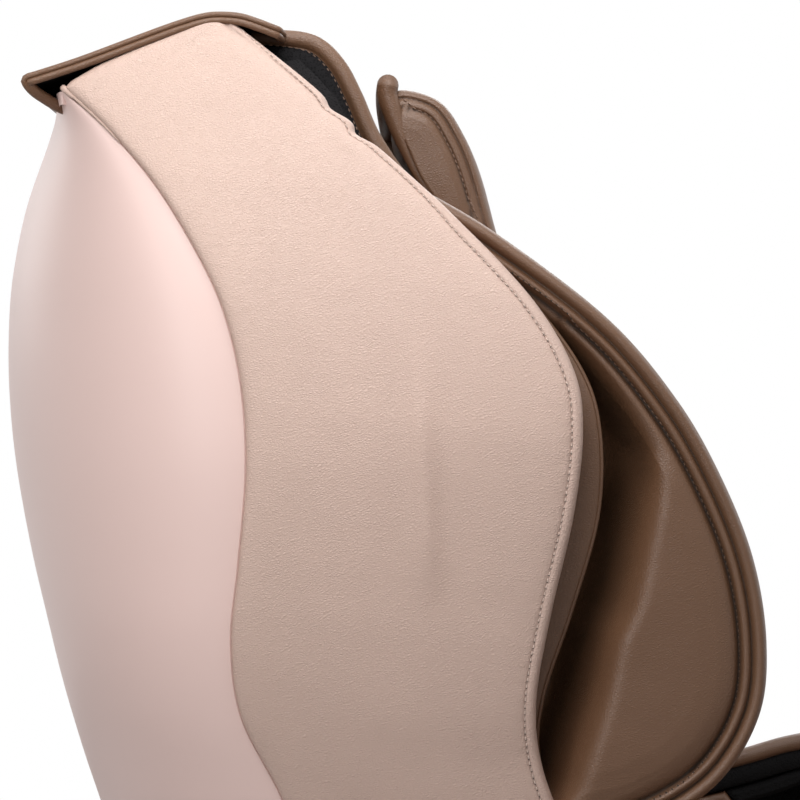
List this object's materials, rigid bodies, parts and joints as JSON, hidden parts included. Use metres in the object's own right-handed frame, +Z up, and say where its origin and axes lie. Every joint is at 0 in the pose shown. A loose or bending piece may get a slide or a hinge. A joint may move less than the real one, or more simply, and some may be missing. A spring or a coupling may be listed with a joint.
{
  "type": "massage chair",
  "caption": "Reclining massage chair with a leaf-shaped back shell, padded flanks, shoulder wings, head pillow, closed-channel armrests and a lifting leg rest.",
  "frame": {"origin": "on the floor under the middle of the whole chair", "axes": "+X across the chair to the sitter's left, -Y the front, +Z up"},
  "size_m": [0.8, 1.2412, 1.255],
  "materials": {
    "champagne_shell": "satin champagne, fine grain",
    "beige_leather": "soft pebbled leather, semi-matt",
    "brown_leather": "soft pebbled leather, semi-matt",
    "black_fabric": "black knitted mesh",
    "frame_paint": "dark grey powder coat",
    "bright_steel": "zinc plated",
    "pump_metal": "cast, unpainted",
    "dark_plastic": "moulded, fine grain",
    "roller_plastic": "smooth nylon",
    "key_metal": "satin plated keys",
    "red_plastic": "gloss",
    "foot_rubber": "matt"
  },
  "bodies": {
    "base": {"base_frame": "frame_paint", "base_feet": "foot_rubber", "rear_cover": "dark_plastic", "seat_pan": "dark_plastic", "seat_cushion": "brown_leather", "control_box": "dark_plastic", "air_pump": "pump_metal", "power_inlet": "dark_plastic", "arm_shell_left": "champagne_shell", "arm_shell_right": "champagne_shell", "arm_core_left": "brown_leather", "arm_core_right": "brown_leather", "arm_cuff_left": "black_fabric", "arm_cuff_right": "black_fabric", "arm_pad_left": "brown_leather", "arm_pad_right": "brown_leather", "side_keypad": "dark_plastic", "recline_actuator": "dark_plastic", "legrest_actuator": "dark_plastic"},
    "power_switch": {"rocker_switch": "red_plastic"},
    "wheel_left": {"transport_wheel_left": "foot_rubber"},
    "wheel_right": {"transport_wheel_right": "foot_rubber"},
    "key_1": {"button_1": "key_metal"},
    "key_2": {"button_2": "key_metal"},
    "key_3": {"button_3": "key_metal"},
    "key_4": {"button_4": "key_metal"},
    "recline_pull": {"recline_rod": "bright_steel"},
    "legrest_push": {"legrest_rod": "bright_steel"},
    "back": {"back_frame": "frame_paint", "guide_rails": "bright_steel", "screw_motor": "dark_plastic", "back_shell": "champagne_shell", "side_board_left": "black_fabric", "side_board_right": "black_fabric", "flank_left": "beige_leather", "flank_right": "beige_leather", "edge_strip_left": "brown_leather", "edge_strip_right": "brown_leather", "wing_left": "brown_leather", "wing_right": "brown_leather", "back_pad": "brown_leather", "head_pillow": "brown_leather", "top_flap": "brown_leather", "top_lining": "black_fabric"},
    "screw": {"lead_screw": "bright_steel"},
    "carriage": {"roller_carriage": "dark_plastic"},
    "knead_left": {"kneading_arm_left": "bright_steel"},
    "knead_right": {"kneading_arm_right": "bright_steel"},
    "roller_lu": {"roller_left_upper": "roller_plastic"},
    "roller_ll": {"roller_left_lower": "roller_plastic"},
    "roller_ru": {"roller_right_upper": "roller_plastic"},
    "roller_rl": {"roller_right_lower": "roller_plastic"},
    "legrest": {"legrest_frame": "frame_paint", "calf_shell": "champagne_shell", "calf_pads": "brown_leather", "foot_shell": "champagne_shell", "foot_pads": "brown_leather"},
    "sole_left": {"sole_roller_left": "roller_plastic"},
    "sole_right": {"sole_roller_right": "roller_plastic"}
  },
  "joints": [
    {"name": "back_recline", "type": "hinge", "parent": "base", "child": "back", "pos_m": [0, 0.28, 0.43], "axis": [-1, 0, 0], "range_deg": [0, 50]},
    {"name": "legrest_lift", "type": "hinge", "parent": "base", "child": "legrest", "pos_m": [0, -0.215, 0.385], "axis": [-1, 0, 0], "range_deg": [0, 80]},
    {"name": "recline_rod_slide", "type": "slide", "parent": "base", "child": "recline_pull", "axis": [0, -1, 0], "range_m": [0, 0.09497]},
    {"name": "legrest_rod_slide", "type": "slide", "parent": "base", "child": "legrest_push", "axis": [0, -1, 0], "range_m": [0, 0.10335]},
    {"name": "power_rocker", "type": "hinge", "parent": "base", "child": "power_switch", "pos_m": [0.134, 0.432, 0.14], "axis": [1, 0, 0], "range_deg": [-14, 0]},
    {"name": "carriage_slide", "type": "slide", "parent": "back", "child": "carriage", "axis": [0, 0.1736, 0.9848], "range_m": [0, 0.4]},
    {"name": "screw_spin", "type": "hinge", "parent": "back", "child": "screw", "pos_m": [0, 0.36106, 0.52923], "axis": [0, 0.1736, 0.9848], "range_deg": [0, 7200]},
    {"name": "knead_left_nod", "type": "hinge", "parent": "carriage", "child": "knead_left", "pos_m": [0, 0.31586, 0.61844], "axis": [1, 0, 0], "range_deg": [-5, 5]},
    {"name": "knead_right_nod", "type": "hinge", "parent": "carriage", "child": "knead_right", "pos_m": [0, 0.31586, 0.61844], "axis": [1, 0, 0], "range_deg": [-5, 5]},
    {"name": "roller_lu_spin", "type": "hinge", "parent": "knead_left", "child": "roller_lu", "pos_m": [-0.0735, 0.29708, 0.68471], "axis": [1, 0, 0], "continuous": true},
    {"name": "roller_ll_spin", "type": "hinge", "parent": "knead_left", "child": "roller_ll", "pos_m": [-0.0735, 0.27555, 0.56259], "axis": [1, 0, 0], "continuous": true},
    {"name": "roller_ru_spin", "type": "hinge", "parent": "knead_right", "child": "roller_ru", "pos_m": [0.0735, 0.29708, 0.68471], "axis": [1, 0, 0], "continuous": true},
    {"name": "roller_rl_spin", "type": "hinge", "parent": "knead_right", "child": "roller_rl", "pos_m": [0.0735, 0.27555, 0.56259], "axis": [1, 0, 0], "continuous": true},
    {"name": "sole_left_spin", "type": "hinge", "parent": "legrest", "child": "sole_left", "pos_m": [-0.119, -0.47, 0.053], "axis": [1, 0, 0], "continuous": true},
    {"name": "sole_right_spin", "type": "hinge", "parent": "legrest", "child": "sole_right", "pos_m": [0.119, -0.47, 0.053], "axis": [1, 0, 0], "continuous": true},
    {"name": "wheel_left_spin", "type": "hinge", "parent": "base", "child": "wheel_left", "pos_m": [-0.204, 0.4, 0.032], "axis": [1, 0, 0], "continuous": true},
    {"name": "wheel_right_spin", "type": "hinge", "parent": "base", "child": "wheel_right", "pos_m": [0.204, 0.4, 0.032], "axis": [1, 0, 0], "continuous": true},
    {"name": "key_1_press", "type": "slide", "parent": "base", "child": "key_1", "axis": [1, 0, 0], "range_m": [0, 0.0015], "stiffness_N_per_m": 600},
    {"name": "key_2_press", "type": "slide", "parent": "base", "child": "key_2", "axis": [1, 0, 0], "range_m": [0, 0.0015], "stiffness_N_per_m": 600},
    {"name": "key_3_press", "type": "slide", "parent": "base", "child": "key_3", "axis": [1, 0, 0], "range_m": [0, 0.0015], "stiffness_N_per_m": 600},
    {"name": "key_4_press", "type": "slide", "parent": "base", "child": "key_4", "axis": [1, 0, 0], "range_m": [0, 0.0015], "stiffness_N_per_m": 600}
  ],
  "couplings": [
    {"joint": "recline_rod_slide", "follows": "back_recline", "m_per_rad": 0.10825},
    {"joint": "legrest_rod_slide", "follows": "legrest_lift", "m_per_rad": 0.073658},
    {"joint": "screw_spin", "follows": "carriage_slide", "rad_per_m": 314.16},
    {"joint": "knead_right_nod", "follows": "knead_left_nod", "ratio": -1}
  ]
}
